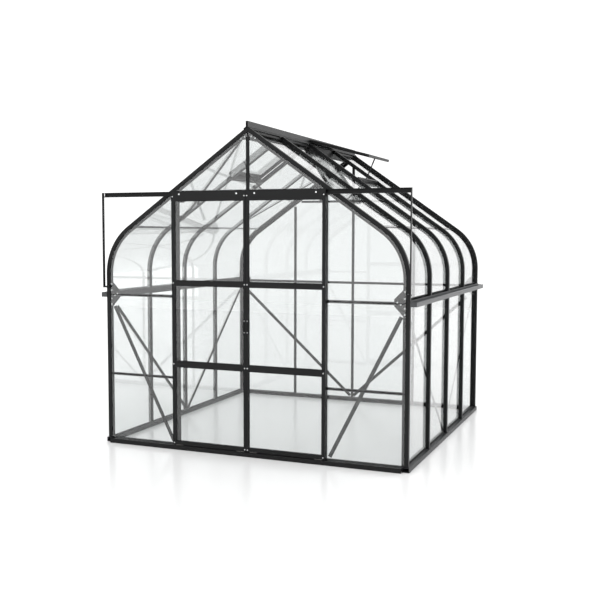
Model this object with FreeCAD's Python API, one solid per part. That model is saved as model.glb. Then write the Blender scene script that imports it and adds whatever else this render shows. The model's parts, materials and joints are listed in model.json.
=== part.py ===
"""Walk-in glasshouse with curved eaves, two sliding doors and two roof vents.

Millimetres. X runs across the width, Y from the front gable to the rear one, Z up.
The origin is on the ground, at the centre of the plan and of the anchor holes.
Every piece of the walls and roof follows one outline in the XZ plane: up the wall,
round the eaves and up the slope to the ridge. "Inset" is the distance in from that
outline, and "depth" the distance in from a gable's outer face.
"""
import FreeCAD, Part
import math
import os

Vector = FreeCAD.Vector

# ---- overall sizes -------------------------------------------------------------
WIDTH = 2570.0            # across the walls' outer faces
BAY = 620.0               # pitch of the glazing bars along the house
BAYS = 4
CORNER_Z = 1640.0         # where the wall and slope lines would meet
PITCH_DEG = 35.0
EAVES_RADIUS = 470.0      # outer radius of the curved eaves
SPLICE_Z = 1310.0         # wall bars end and curved roof bars begin
EAVES_Z = 1227.0          # middle height of the eaves beam and eaves transoms

# ---- sections ------------------------------------------------------------------
BAR_WIDTH = 30.0
SKIN = 4.0                # outer face of a bar or capping
CAPPING = 25.0            # height of a wall or roof capping, in front of the glass
BAR_FLANGE = 3.0          # flange behind the wall and roof glass
POST_DEPTH = 42.0         # door posts, and the cills behind the gable's face
GLASS = 3.0
BED = 1.0                 # seal between the glass and the bar behind it
WALL = 3.0                # wall of the light extrusions
GLASS_GRIP = 10.0         # how far a pane runs under the skin that holds it
BAR_WEB = 6.0
CORNER_FACE = 32.0        # width of the corner profile on the gable
CORNER_LEG = 54.0         # its glazing leg reaches this far in behind the glass
CORNER_WEB = 14.0         # from the wall's outer face to the profile's web
TRANSOM_LOW = 22.0
TRANSOM_EAVES = 24.0
PANE_GAP = 2.0            # between two gable panes, over a transom

# ---- base ----------------------------------------------------------------------
CILL_HEIGHT = 35.0
CILL_PROUD = 10.0         # the cills stand this far outside the walls
GUIDE_REACH = 45.0        # the front cill runs this far in front of the gable
GROOVE_WIDTH = 8.0
GROOVE_DEPTH = 15.0
THRESHOLD_HEIGHT = 22.0
ANCHOR_RADIUS = 4.5
ANCHOR_INSET = 16.0

# ---- gables --------------------------------------------------------------------
POST_X = 630.0            # middle of each door post
POST_WIDTH = 24.0
CENTRE_BAR_WIDTH = 28.0
LOW_TRANSOM_Z = 572.0
POST_TO_RAFTER = 13.0     # between a door post's top and the rafter's glazing leg
HEADER_HEIGHT = 54.0
HEADER_LAP = 12.0         # the header beam passes the middle of each door post
REAR_HEAD_DROP = 27.0     # rear head transom below the slope, at the rear upright

# ---- eaves, ridge and gutters --------------------------------------------------
EAVES_BEAM_HEIGHT = 50.0
EAVES_BEAM_DEPTH = 23.0
GUTTER_REACH = 50.0
GUTTER_HEIGHT = 35.0      # of its front wall and its end plates
GUTTER_BACK = 46.0
GUTTER_DROP = 22.0        # gutter floor below the middle of the eaves beam
GUTTER_REAR = 20.0        # overhang past the rear gable
RIDGE_HALF = 10.0
RAFTER_GAP = 0.25         # half the gap between the two gable rafters at the ridge
PANE_TO_RIDGE = 5.0       # roof pane short of the ridge bar
RIDGE_DROP = 25.0         # top of the ridge bar below the apex of the outer slopes
RIDGE_HEIGHT = 75.0
RIDGE_CAP_HALF = 9.0
RIDGE_CAP_RISE = 40.0
RIDGE_FLANGE = 20.0
RIDGE_OVERHANG = 12.0

# ---- bracing and plates --------------------------------------------------------
BRACE_WIDTH = 30.0
PLATE = 3.0
BOLT_HEAD_RADIUS = 5.0
BOLT_HEAD = 3.5
BRACE_FOOT = 18.0         # end of a wall brace above the cill
FRONT_BRACE_IN = 67.0     # top of a front gable brace, in from the side wall
FRONT_BRACE_DOWN = 97.0   # and below the eaves
REAR_BRACE_IN = 105.0
REAR_BRACE_DOWN = 117.0
SIDE_BRACE_IN = 100.0     # top of a side brace, in from the gable
SIDE_BRACE_DOWN = 105.0
ROOF_BRACE_IN = 50.0      # top of a roof brace, in from the gable
ROOF_BRACE_TOP = 75.0     # from the middle of the house
ROOF_BRACE_FOOT = 355.0   # in from the wall
EAVES_PLATE = [(0, -97), (0, 101), (19, 101), (89, 30), (89, -20), (48, -63), (19, -97)]
EAVES_BOLTS = [(9, 85), (9, -80), (9, 35), (9, -35), (64, 8), (39, -8)]
APEX_PLATE_TOP = 40.0     # half width of the apex plate's top edge
APEX_PLATE_LOW = 73.0     # its lower edge, below the ridge bar's top
APEX_BOLTS = [(60, 9), (28, 17)]     # from the middle, and below the rafter
HEADER_PLATE = [(5, -40), (5, 18), (-120, 18), (-120, 8), (-50, -40)]
HEADER_BOLTS = [(-100, 12), (-12, 0), (-12, -28)]
STRIP_WIDTH = 16.0        # strips that join one pane to the next
STRIP_FACE = 2.0
STRIP_GAP = 3.0
CURVE_JOINT = 37.0        # the joint lies this far up the slope from the curve

# ---- doors ---------------------------------------------------------------------
DOOR_LAP = 20.0           # a closed door's edge passes the middle of its post
DOOR_GAP = 1.5            # from the middle of the house to each closed door
DOOR_BACK = 12.0          # in front of the gable face
DOOR_THICK = 24.0
DOOR_FLOOR_GAP = 4.0
DOOR_TOP_GAP = 4.0        # between the stiles and the track above them
OUTER_STILE = 27.0
MEETING_STILE = 20.0
BOTTOM_RAIL = 30.0
MID_RAIL_Z = 691.0
MID_RAIL = 50.0
LOCK_RAIL_Z = 1337.0
LOCK_RAIL = 42.0
FASCIA_HEIGHT = 81.0
FASCIA_RISE = 3.0         # above the track's top
FASCIA = 4.0
TRACK_RISE = 8.0          # track's underside above the door posts' top
TRACK_HEIGHT = 36.0
TRACK_BACK = 3.0
TRACK_FRONT = 32.0
TRACK_LIP = 4.0
ROLLER_RADIUS = 11.0
ROLLER_WIDTH = 13.0
ROLLER_FRONT = 12.0       # back of the roller, in front of the gable face
ROLL_CLEARANCE = 0.3
AXLE_RADIUS = 3.0
AXLE_CLEARANCE = 0.05
ROLLER_SIDE_GAP = 0.5     # roller to its sleeve and to its collar
COLLAR = 2.0              # thickness of the end collar
HANGER_SPREAD = 250.0     # each hanger's distance from the door's middle
GLIDE_THICK = 4.0
GLIDE_LENGTH = 60.0
GLIDE_SPREAD = 270.0
TOP_RAIL_LAP = 7.0        # top rail's underside above the fascia's lower edge
HANDLE_Z = 1013.0
HANDLE_HEIGHT = 104.0
HANDLE_WIDTH = 24.0
GRIP_HALF = 5.0           # half the width of the pull
GRIP_STAND = 17.0         # pull off the stile
GRIP_THICK = 6.0
GRIP_INSET = 12.0         # pull in from the ends of its plate
GRIP_FOOT = 10.0
TRACK_PAST = 4.0          # the track runs this far past the walls' outer faces
SUPPORT_WIDTH = 22.0
SUPPORT_THICK = 8.0
SUPPORT_FORWARD = 14.0    # its back, in front of the gable face
SUPPORT_FOOT = 12.0
SUPPORT_FOOT_LAP = 20.0   # the foot reaches this far onto the corner post
SUPPORT_LAP = 25.0        # the supports reach this far below the splice

# ---- roof vents ----------------------------------------------------------------
VENT_HINGE_X = 20.0
VENT_HINGE_RISE = 26.0    # hinge line above the outer slope
VENT_GAP = 8.0            # between the cappings and the vent's underside
VENT_DEPTH = 24.0
VENT_LENGTH = 563.0       # from the hinge line to the lower edge
VENT_SIDE_GAP = 4.0       # from the bar's middle to the vent's side
VENT_RAIL = 30.0
VENT_SIDE = 22.0
VENT_TOP_START = 14.0
HINGE_BEAD = 4.0
HINGE_CLEARANCE = 0.3
HINGE_WALL = 3.2
HINGE_WRAP_DEG = 105.0
RIGHT_VENT_OPEN_DEG = 20.0
SILL_START = 550.0        # from the hinge line, down the slope
SILL_WIDTH = 25.0
SILL_DEPTH = 34.0
STAY_LENGTH = 208.0
STAY_WIDTH = 12.0
STAY_THICK = 3.0
STAY_LEAN_DEG = 8.0       # from square to the vent, towards the ridge
STAY_PIVOT_RADIUS = 2.5
STAY_PIVOT_CLEARANCE = 0.05
STAY_PIVOT_AT = 523.0     # from the hinge line, down the vent
STAY_PIVOT_RISE = 8.0     # above the underside of the vent rail
STAY_LUG_HALF = 6.0
STAY_HOLES = 4
STAY_HOLE_PITCH = 38.0
STAY_HOLE_END = 16.0      # last peg hole from the end of the stay
PEG_RADIUS = 2.5
PEG_GAP = 1.0
PEG_HOLE_GAP = 0.5
PEG_BASE = 12.0           # width and height of the block that stands for the peg
PEG_BASE_DEEP = 10.0
PEG_RISE = 8.0            # block above the underside of the sill
SILL_REBATE = 5.0
VENT_BAR_GAP = 0.5        # sill to the bars on both sides

# ---- worked out ----------------------------------------------------------------
HALF_W = WIDTH / 2
HALF_D = (BAYS * BAY + BAR_WIDTH) / 2
PITCH = math.radians(PITCH_DEG)
TURN_DEG = 90.0 - PITCH_DEG
APEX_Z = CORNER_Z + HALF_W * math.tan(PITCH)
ARC_X = HALF_W - EAVES_RADIUS
ARC_Z = CORNER_Z - EAVES_RADIUS * math.tan(math.radians(TURN_DEG / 2))
GLASS_BACK = SKIN + GLASS
SEAT = GLASS_BACK + BED   # depth of the gable bars behind the glass
LEG_BACK = SEAT + SKIN    # back of the corner profile's glazing leg
PLATE_BACK = LEG_BACK + PLATE
SIDE_GLASS_BACK = CAPPING + GLASS
SIDE_SEAT = SIDE_GLASS_BACK + BED
BAR_BACK = SIDE_SEAT + BAR_FLANGE
PLATE_EDGE = BAR_BACK + BED
BAR_Y = [BAR_WIDTH / 2 - HALF_D + BAY * k for k in range(BAYS + 1)]
WALL_FOOT = ("wall", CILL_HEIGHT)
SPLICE = ("wall", SPLICE_Z)
LOW_JOINT_Z = EAVES_Z + EAVES_BEAM_HEIGHT / 2
OUTER_POST = POST_X + POST_WIDTH / 2
INNER_POST = POST_X - POST_WIDTH / 2
HEAD_Z = (APEX_Z - OUTER_POST * math.tan(PITCH) - CORNER_LEG / math.cos(PITCH)
          - POST_TO_RAFTER)
TRACK_LOW_Z = HEAD_Z + TRACK_RISE
TRACK_TOP_Z = TRACK_LOW_Z + TRACK_HEIGHT
DOOR_OUTER = POST_X + DOOR_LAP
DOOR_LOW_Z = CILL_HEIGHT + DOOR_FLOOR_GAP
DOOR_TOP_Z = TRACK_LOW_Z - DOOR_TOP_GAP
FASCIA_TOP_Z = TRACK_TOP_Z + FASCIA_RISE
FASCIA_LOW_Z = FASCIA_TOP_Z - FASCIA_HEIGHT
REAR_UPRIGHT = WIDTH / 4
REAR_HEAD_Z = APEX_Z - REAR_UPRIGHT * math.tan(PITCH) - REAR_HEAD_DROP
HEADER_REACH = POST_X + HEADER_LAP
GUTTER_LOW_Z = EAVES_Z - GUTTER_DROP
RIDGE_TOP_Z = APEX_Z - RIDGE_DROP
RIDGE_LOW_Z = RIDGE_TOP_Z - RIDGE_HEIGHT
RIDGE_CAP_Z = APEX_Z + RIDGE_CAP_RISE
ANCHOR_Y = (BAYS - 1) * BAY / 2
ROLLER_Z = TRACK_LOW_Z + WALL + ROLL_CLEARANCE + ROLLER_RADIUS
DOOR_MIDDLE = (DOOR_OUTER + DOOR_GAP) / 2
VENT_BAYS = {-1: 1, 1: 2}
SIDES = {"left": -1, "right": 1}
VENT_HINGE_Z = (APEX_Z - VENT_HINGE_X * math.tan(PITCH)
                + VENT_HINGE_RISE / math.cos(PITCH))


# ---- helpers -------------------------------------------------------------------
def save(name, solids):
    """Write one node, a single solid or a group of separate ones."""
    shape = solids[0] if len(solids) == 1 else Part.makeCompound(solids)
    if not shape.isValid():
        raise ValueError(name + " is not a valid shape")
    shape.exportStep("parts/" + name + ".step")


def joined(shapes):
    return shapes[0].multiFuse(shapes[1:]).removeSplitter()


def box(x0, x1, y0, y1, z0, z1):
    low = Vector(min(x0, x1), min(y0, y1), min(z0, z1))
    return Part.makeBox(abs(x1 - x0), abs(y1 - y0), abs(z1 - z0), low)


def gable_y(end, depth):
    """Y of a plane at this depth behind the front (-1) or rear (1) gable's face."""
    return end * (HALF_D - depth)


def plate_xz(points, y0, y1):
    """Extrude an (x, z) outline from y0 to y1."""
    corners = [Vector(x, min(y0, y1), z) for x, z in points]
    face = Part.Face(Part.makePolygon(corners + corners[:1]))
    return face.extrude(Vector(0, abs(y1 - y0), 0))


def along_x(points, x0, x1):
    """Extrude a (y, z) outline from x0 to x1."""
    corners = [Vector(x0, y, z) for y, z in points]
    face = Part.Face(Part.makePolygon(corners + corners[:1]))
    return face.extrude(Vector(x1 - x0, 0, 0))


def along_y(radius, x, z, y0, y1):
    low = Vector(x, min(y0, y1), z)
    return Part.makeCylinder(radius, abs(y1 - y0), low, Vector(0, 1, 0))


def slope_z(x, inset=0.0):
    """Height of the slope at this distance from the middle of the house."""
    return APEX_Z - abs(x) * math.tan(PITCH) - inset / math.cos(PITCH)


def slope_x(z, inset):
    """Distance from the middle of the house at which the slope has this height."""
    return (APEX_Z - inset / math.cos(PITCH) - z) / math.tan(PITCH)


def outline_point(inset, place, side, y):
    """A place is up the wall, round the eaves, along the slope or at the ridge."""
    kind, value = place
    radius = EAVES_RADIUS - inset
    if kind == "wall":
        x, z = HALF_W - inset, value
    elif kind == "arc":
        x = ARC_X + radius * math.cos(math.radians(value))
        z = ARC_Z + radius * math.sin(math.radians(value))
    else:
        x = ARC_X + radius * math.cos(math.radians(TURN_DEG))
        z = ARC_Z + radius * math.sin(math.radians(TURN_DEG))
        run = value if kind == "slope" else (x - value) / math.cos(PITCH)
        x, z = x - run * math.cos(PITCH), z + run * math.sin(PITCH)
    return Vector(side * x, y, z)


def outline_edges(inset, start, stop, side, y):
    marks = [start]
    if start[0] == "wall" and stop[0] != "wall":
        marks.append(("arc", 0.0))
    if start[0] in ("wall", "arc") and stop[0] in ("slope", "ridge"):
        marks.append(("arc", TURN_DEG))
    marks.append(stop)
    edges = []
    for here, there in zip(marks, marks[1:]):
        ends = [outline_point(inset, place, side, y) for place in (here, there)]
        if here[0] == "arc" and there[0] == "arc":
            middle = ("arc", (here[1] + there[1]) / 2)
            half_way = outline_point(inset, middle, side, y)
            edges.append(Part.Arc(ends[0], half_way, ends[1]).toShape())
        else:
            edges.append(Part.LineSegment(ends[0], ends[1]).toShape())
    return edges


def band(insets, start, stop, y0, y1, side):
    """A strip between two insets of the outline, from one place to another."""
    edges = []
    for inset in insets:
        edges += outline_edges(inset, start, stop, side, y0)
    for place in (start, stop):
        ends = [outline_point(inset, place, side, y0) for inset in insets]
        edges.append(Part.LineSegment(ends[0], ends[1]).toShape())
    face = Part.Face(Part.Wire(Part.__sortEdges__(edges)))
    return face.extrude(Vector(0, y1 - y0, 0))


def channel(outer, wall):
    """(y, z) or (x, z) outline of an open C: four sides with the last one missing."""
    (a0, b0), (a1, b1) = outer
    step = wall if a1 > a0 else -wall
    return [(a0, b0), (a1, b0), (a1, b0 + wall), (a0 + step, b0 + wall),
            (a0 + step, b1 - wall), (a1, b1 - wall), (a1, b1), (a0, b1)]


# ---- base ----------------------------------------------------------------------
def front_cill():
    """Inverted channel whose top holds the doors' bottom groove."""
    face = -HALF_D
    middle = face - DOOR_BACK - DOOR_THICK / 2
    front, back = face - GUIDE_REACH, face + POST_DEPTH
    g0, g1 = middle - GROOVE_WIDTH / 2, middle + GROOVE_WIDTH / 2
    top, under = CILL_HEIGHT, CILL_HEIGHT - WALL
    floor = CILL_HEIGHT - GROOVE_DEPTH
    outline = [(front, 0), (front, top), (g0, top), (g0, floor), (g1, floor), (g1, top),
               (back, top), (back, 0), (back - WALL, 0), (back - WALL, under),
               (g1 + WALL, under), (g1 + WALL, floor - WALL), (g0 - WALL, floor - WALL),
               (g0 - WALL, under), (front + WALL, under), (front + WALL, 0)]
    reach = HALF_W - POST_DEPTH
    save("front_cill", [along_x(outline, -reach, reach)])


def tube(x0, x1, y0, y1, open_along):
    """A rectangular cill tube of the cill's height, open at its two ends."""
    hollow = [x0 + WALL, x1 - WALL, y0 + WALL, y1 - WALL]
    if open_along == "y":
        hollow[2:] = [y0, y1]
    else:
        hollow[:2] = [x0, x1]
    return box(x0, x1, y0, y1, 0, CILL_HEIGHT).cut(box(*hollow, WALL, CILL_HEIGHT - WALL))


def other_cills():
    inner, outer = HALF_W - POST_DEPTH, HALF_W + CILL_PROUD
    length = HALF_D + CILL_PROUD
    sides = []
    for side in SIDES.values():
        x0, x1 = sorted((side * inner, side * outer))
        cill = tube(x0, x1, -length, length, "y")
        for y in (-ANCHOR_Y, ANCHOR_Y):
            hole_at = Vector(side * (HALF_W - ANCHOR_INSET), y, -1)
            cill = cill.cut(Part.makeCylinder(ANCHOR_RADIUS, CILL_HEIGHT + 2, hole_at))
        sides.append(cill)
    save("side_cills", sides)
    save("rear_cill", [tube(-inner, inner, HALF_D - POST_DEPTH, length, "x")])


def door_threshold():
    """Raised sill between the door posts, just behind the doors."""
    outline = channel(((-HALF_D + POST_DEPTH, CILL_HEIGHT),
                       (-HALF_D, CILL_HEIGHT + THRESHOLD_HEIGHT)), WALL)
    save("door_threshold", [along_x(outline, -INNER_POST, INNER_POST)])


# ---- bars of the walls and roof ------------------------------------------------
def corner_section(start, stop, inner_stop, end, side):
    """Corner profile: two outer faces with a glazing leg behind each of them."""
    outer = [((0, CORNER_FACE), (0, SKIN)),
             ((0, SKIN), (0, BAR_WIDTH)),
             ((SKIN, CORNER_LEG), (SEAT, LEG_BACK)),
             ((CORNER_WEB, CORNER_WEB + SKIN), (SKIN, SEAT))]
    inner = [((SKIN, CAPPING), (BAR_WIDTH - WALL, BAR_WIDTH)),
             ((SIDE_SEAT, BAR_BACK), (LEG_BACK, BAR_WIDTH + GLASS_GRIP))]
    solids = []
    for strips, finish in ((outer, stop), (inner, inner_stop)):
        for insets, depths in strips:
            y0, y1 = sorted(gable_y(end, depth) for depth in depths)
            solids.append(band(insets, start, finish, y0, y1, side))
    return joined(solids)


def glazing_bar(start, stop, y, side):
    """T bar: a flange behind two panes and a web that stands out between them."""
    strips = [((SKIN, SIDE_SEAT), BAR_WEB / 2), ((SIDE_SEAT, BAR_BACK), BAR_WIDTH / 2 - 1)]
    return joined([band(insets, start, stop, y - half, y + half, side)
                   for insets, half in strips])


def capping(y, side):
    """Channel over one glazing bar: an outer face and a leg down to each pane."""
    half = BAR_WIDTH / 2
    solids = [band((0, SKIN), WALL_FOOT, ("ridge", 1.0), y - half, y + half, side)]
    for y0, y1 in ((y - half, y - half + WALL), (y + half - WALL, y + half)):
        solids.append(band((SKIN, CAPPING), WALL_FOOT, ("ridge", RIDGE_HALF + 2),
                           y0, y1, side))
    return joined(solids)


def bars():
    posts, rafters, walls, caps = [], [], [], []
    for side in SIDES.values():
        for end in (-1, 1):
            posts.append(corner_section(WALL_FOOT, SPLICE, SPLICE, end, side))
            rafters.append(corner_section(SPLICE, ("ridge", RAFTER_GAP), ("ridge", RIDGE_HALF + 2),
                                          end, side))
        for y in BAR_Y[1:-1]:
            walls.append(glazing_bar(WALL_FOOT, SPLICE, y, side))
            caps.append(capping(y, side))
    save("corner_posts", posts)
    save("gable_rafters", rafters)
    save("wall_bars", walls)
    save("bar_cappings", caps)
    for name, side in SIDES.items():
        curved = [glazing_bar(SPLICE, ("ridge", RIDGE_HALF), y, side) for y in BAR_Y[1:-1]]
        save(name + "_roof_bars", curved)


# ---- ridge, eaves and gutters --------------------------------------------------
def ridge():
    """Ridge bar, and a hat section over it in two lengths that carries the vents."""
    reach = HALF_D - PLATE_BACK
    save("ridge_bar", [box(-RIDGE_HALF, RIDGE_HALF, -reach, reach, RIDGE_LOW_Z, RIDGE_TOP_Z)])
    inner, outer = RIDGE_CAP_HALF - WALL, RIDGE_CAP_HALF
    foot = RIDGE_CAP_HALF + RIDGE_FLANGE
    half = [(foot, slope_z(foot)), (inner, slope_z(inner)), (inner, RIDGE_CAP_Z - SKIN)]
    rest = [(outer, RIDGE_CAP_Z), (outer, slope_z(outer, -WALL)), (foot, slope_z(foot, -WALL))]
    under = half + [(-x, z) for x, z in reversed(half)]
    over = [(-x, z) for x, z in reversed(rest)] + rest
    length = HALF_D + RIDGE_OVERHANG
    lengths = []
    for end in (-1, 1):
        piece = plate_xz(under + over, 0.0, end * length)
        side = -1 if VENT_BAYS[-1] < BAYS / 2 and end < 0 else 1
        lengths.append(joined([piece, hinge_bead(side)]))
    save("ridge_cappings", lengths)


def hinge_bead(side):
    """Round bead on the ridge that a vent's top rail hooks over."""
    y0, y1 = vent_span(side)
    bead = along_y(HINGE_BEAD, side * VENT_HINGE_X, VENT_HINGE_Z, y0, y1)
    neck = box(side * (RIDGE_CAP_HALF - 1), side * VENT_HINGE_X, y0, y1,
               VENT_HINGE_Z - WALL / 2, VENT_HINGE_Z + WALL / 2)
    return joined([bead, neck])


def eaves():
    reach = HALF_D - PLATE_BACK
    low, high = EAVES_Z - EAVES_BEAM_HEIGHT / 2, EAVES_Z + EAVES_BEAM_HEIGHT / 2
    beams, gutters, ends = [], [], []
    for side in SIDES.values():
        back = HALF_W - BAR_BACK
        outline = channel(((side * back, low), (side * (back - EAVES_BEAM_DEPTH), high)), WALL)
        beams.append(plate_xz(outline, -reach, reach))
        gutters.append(plate_xz(gutter_outline(side), -HALF_D, HALF_D + GUTTER_REAR))
        x0, x1 = side * HALF_W, side * (HALF_W + GUTTER_REACH)
        for y in (-HALF_D - WALL, HALF_D + GUTTER_REAR):
            ends.append(box(x0, x1, y, y + WALL, GUTTER_LOW_Z, GUTTER_LOW_Z + GUTTER_HEIGHT))
    save("eaves_beams", beams)
    save("gutters", gutters)
    save("gutter_ends", ends)


def gutter_outline(side):
    """Open trough: high back, floor, and a front wall with a rolled-in lip."""
    low, reach = GUTTER_LOW_Z, GUTTER_REACH
    front_top = low + GUTTER_HEIGHT
    points = [(0, low), (reach, low), (reach, front_top), (reach - 2 * WALL, front_top),
              (reach - 2 * WALL, front_top - WALL), (reach - WALL, front_top - WALL),
              (reach - WALL, low + WALL), (WALL, low + WALL), (WALL, low + GUTTER_BACK),
              (0, low + GUTTER_BACK)]
    return [(side * (HALF_W + x), z) for x, z in points]


# ---- gables --------------------------------------------------------------------
def upright_bar(x0, x1, z0, z1, end):
    """Upright T bar of a gable: a face, a web between the panes and a seat."""
    middle, half = (x0 + x1) / 2, BAR_WEB / 2
    y = [gable_y(end, depth) for depth in (0, SKIN, SEAT, LEG_BACK)]
    return joined([box(x0, x1, y[0], y[1], z0, z1),
                   box(middle - half, middle + half, y[1], y[2], z0, z1),
                   box(x0 + 3, x1 - 3, y[2], y[3], z0, z1)])


def transom(x0, x1, z, height, end):
    """Flat crosswise bar behind the glass, where two panes meet."""
    return box(x0, x1, gable_y(end, SEAT), gable_y(end, LEG_BACK),
               z - height / 2, z + height / 2)


def gable_frames():
    corner = HALF_W - CORNER_LEG
    half_bar = CENTRE_BAR_WIDTH / 2
    apex = slope_z(half_bar, CORNER_LEG) - 1
    posts, transoms, uprights, rear, centre = [], [], [], [], []
    for side in SIDES.values():
        outline = channel(((side * OUTER_POST, -HALF_D), (side * INNER_POST,
                           -HALF_D + POST_DEPTH)), WALL)
        ring = [Vector(x, y, CILL_HEIGHT) for x, y in outline]
        face = Part.Face(Part.makePolygon(ring + ring[:1]))
        posts.append(face.extrude(Vector(0, 0, HEAD_Z - CILL_HEIGHT)))
        for z, height in ((LOW_TRANSOM_Z, TRANSOM_LOW), (EAVES_Z, TRANSOM_EAVES)):
            transoms.append(transom(side * OUTER_POST, side * corner, z, height, -1))
        top = slope_z(REAR_UPRIGHT + half_bar, CORNER_LEG) - 1
        middle = side * REAR_UPRIGHT
        uprights.append(upright_bar(middle - half_bar, middle + half_bar, CILL_HEIGHT, top, 1))
        head_end = slope_x(REAR_HEAD_Z + TRANSOM_LOW / 2, CORNER_LEG + 1)
        bar_edge = half_bar - 3
        spans = [(bar_edge, REAR_UPRIGHT - bar_edge, EAVES_Z, TRANSOM_EAVES),
                 (bar_edge, head_end, REAR_HEAD_Z, TRANSOM_LOW),
                 (REAR_UPRIGHT + bar_edge, corner, EAVES_Z, TRANSOM_EAVES)]
        for x0, x1, z, height in spans:
            rear.append(transom(side * x0, side * x1, z, height, 1))
    for end, foot in ((-1, HEAD_Z + 2), (1, CILL_HEIGHT)):
        centre.append(upright_bar(-half_bar, half_bar, foot, apex, end))
    save("door_posts", posts)
    save("front_transoms", transoms)
    save("rear_uprights", uprights)
    save("rear_transoms", rear)
    save("gable_centre_bars", centre)
    save("header_beam", [header_beam()])


def header_beam():
    """Channel across the door posts, its ends cut to the rafters."""
    outline = channel(((-HALF_D + POST_DEPTH, HEAD_Z),
                       (-HALF_D + LEG_BACK, HEAD_Z + HEADER_HEIGHT)), WALL)
    beam = along_x(outline, -HEADER_REACH, HEADER_REACH)
    half = [(HEADER_REACH, HEAD_Z), (HEADER_REACH, slope_z(HEADER_REACH, PLATE_EDGE))]
    below = half + [(0, slope_z(0, PLATE_EDGE))] + [(-x, z) for x, z in reversed(half)]
    return beam.common(plate_xz(below, -HALF_D, -HALF_D + POST_DEPTH))


def flat_brace(start, stop, width_normal):
    """Flat strip between two points; its width lies square to the given normal."""
    run = stop.sub(start)
    across = run.cross(width_normal).normalize().multiply(BRACE_WIDTH / 2)
    corners = [start.add(across), stop.add(across), stop.sub(across), start.sub(across)]
    face = Part.Face(Part.makePolygon(corners + corners[:1]))
    return face.extrude(Vector(width_normal).normalize().multiply(PLATE))


def braces():
    gables, walls, roofs = [], [], []
    for side in SIDES.values():
        front_y = gable_y(-1, PLATE_BACK)
        rear_y = gable_y(1, PLATE_BACK)
        post = OUTER_POST + BRACE_WIDTH
        foot_z = CILL_HEIGHT + BRACE_FOOT
        gables.append(flat_brace(Vector(side * (HALF_W - FRONT_BRACE_IN), front_y,
                                        EAVES_Z - FRONT_BRACE_DOWN),
                                 Vector(side * post, front_y, foot_z), Vector(0, 1, 0)))
        gables.append(flat_brace(Vector(side * (HALF_W - REAR_BRACE_IN), rear_y,
                                        EAVES_Z - REAR_BRACE_DOWN),
                                 Vector(side * BRACE_FOOT, rear_y, foot_z),
                                 Vector(0, -1, 0)))
        x = side * (HALF_W - PLATE_EDGE)
        for end in (-1, 1):
            walls.append(flat_brace(Vector(x, end * (HALF_D - SIDE_BRACE_IN),
                                           EAVES_Z - SIDE_BRACE_DOWN),
                                    Vector(x, end * BRACE_FOOT, foot_z),
                                    Vector(-side, 0, 0)))
            top, foot = ROOF_BRACE_TOP, HALF_W - ROOF_BRACE_FOOT
            near_ridge = Vector(side * top, gable_y(end, ROOF_BRACE_IN), slope_z(top, PLATE_EDGE))
            low_bar = Vector(side * foot, BAR_Y[1] if end < 0 else BAR_Y[-2],
                             slope_z(foot, PLATE_EDGE))
            roofs.append(flat_brace(near_ridge, low_bar,
                                    Vector(-side * math.sin(PITCH), 0, -math.cos(PITCH))))
    save("gable_braces", gables)
    save("side_braces", walls)
    save("roof_braces", roofs)


def gussets():
    """Corner plates behind the glazing legs, and the bolts through them."""
    eaves_plates, apex_plates, header_plates, bolts = [], [], [], []
    low = RIDGE_TOP_Z - APEX_PLATE_LOW
    apex = [(slope_x(low, PLATE_EDGE), low),
            (APEX_PLATE_TOP, slope_z(APEX_PLATE_TOP, PLATE_EDGE))]
    apex = apex + [(-x, z) for x, z in reversed(apex)]
    for end in (-1, 1):
        near, far = gable_y(end, LEG_BACK), gable_y(end, PLATE_BACK)
        apex_plates.append(plate_xz(apex, near, far))
        for side in SIDES.values():
            edge = HALF_W - PLATE_EDGE
            corner = [(side * (edge - x), EAVES_Z + z) for x, z in EAVES_PLATE]
            eaves_plates.append(plate_xz(corner, near, far))
            bolts += [gable_bolt(side * x, slope_z(x, PLATE_EDGE) - drop, end, LEG_BACK)
                      for x, drop in APEX_BOLTS]
            bolts += [gable_bolt(side * (edge - x), EAVES_Z + z, end, LEG_BACK)
                      for x, z in EAVES_BOLTS]
    near, far = gable_y(-1, POST_DEPTH), gable_y(-1, POST_DEPTH + PLATE)
    for side in SIDES.values():
        corner = [(side * (POST_X + x), HEAD_Z + z) for x, z in HEADER_PLATE]
        header_plates.append(plate_xz(corner, near, far))
        bolts += [gable_bolt(side * (POST_X + x), HEAD_Z + z, -1, POST_DEPTH)
                  for x, z in HEADER_BOLTS]
    save("eaves_gussets", eaves_plates)
    save("apex_gussets", apex_plates)
    save("header_gussets", header_plates)
    save("frame_bolts", bolts)


def gable_bolt(x, z, end, depth):
    """Round-headed bolt whose head bears on a plate, and passes into it."""
    outer, inner = gable_y(end, depth + PLATE), gable_y(end, depth + PLATE + BOLT_HEAD)
    return along_y(BOLT_HEAD_RADIUS, x, z, outer, inner)


# ---- glass ---------------------------------------------------------------------
def vent_span(side):
    bay = VENT_BAYS[side]
    return BAR_Y[bay] + VENT_SIDE_GAP, BAR_Y[bay + 1] - VENT_SIDE_GAP


def sill_place():
    """Where the roof pane below a vent ends, measured up the slope from the curve."""
    hinge_run = (ARC_X + EAVES_RADIUS * math.cos(math.radians(TURN_DEG))
                 - VENT_HINGE_X) / math.cos(PITCH)
    offset = VENT_HINGE_RISE * math.tan(PITCH)
    return hinge_run + offset - SILL_START - SILL_WIDTH


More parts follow.
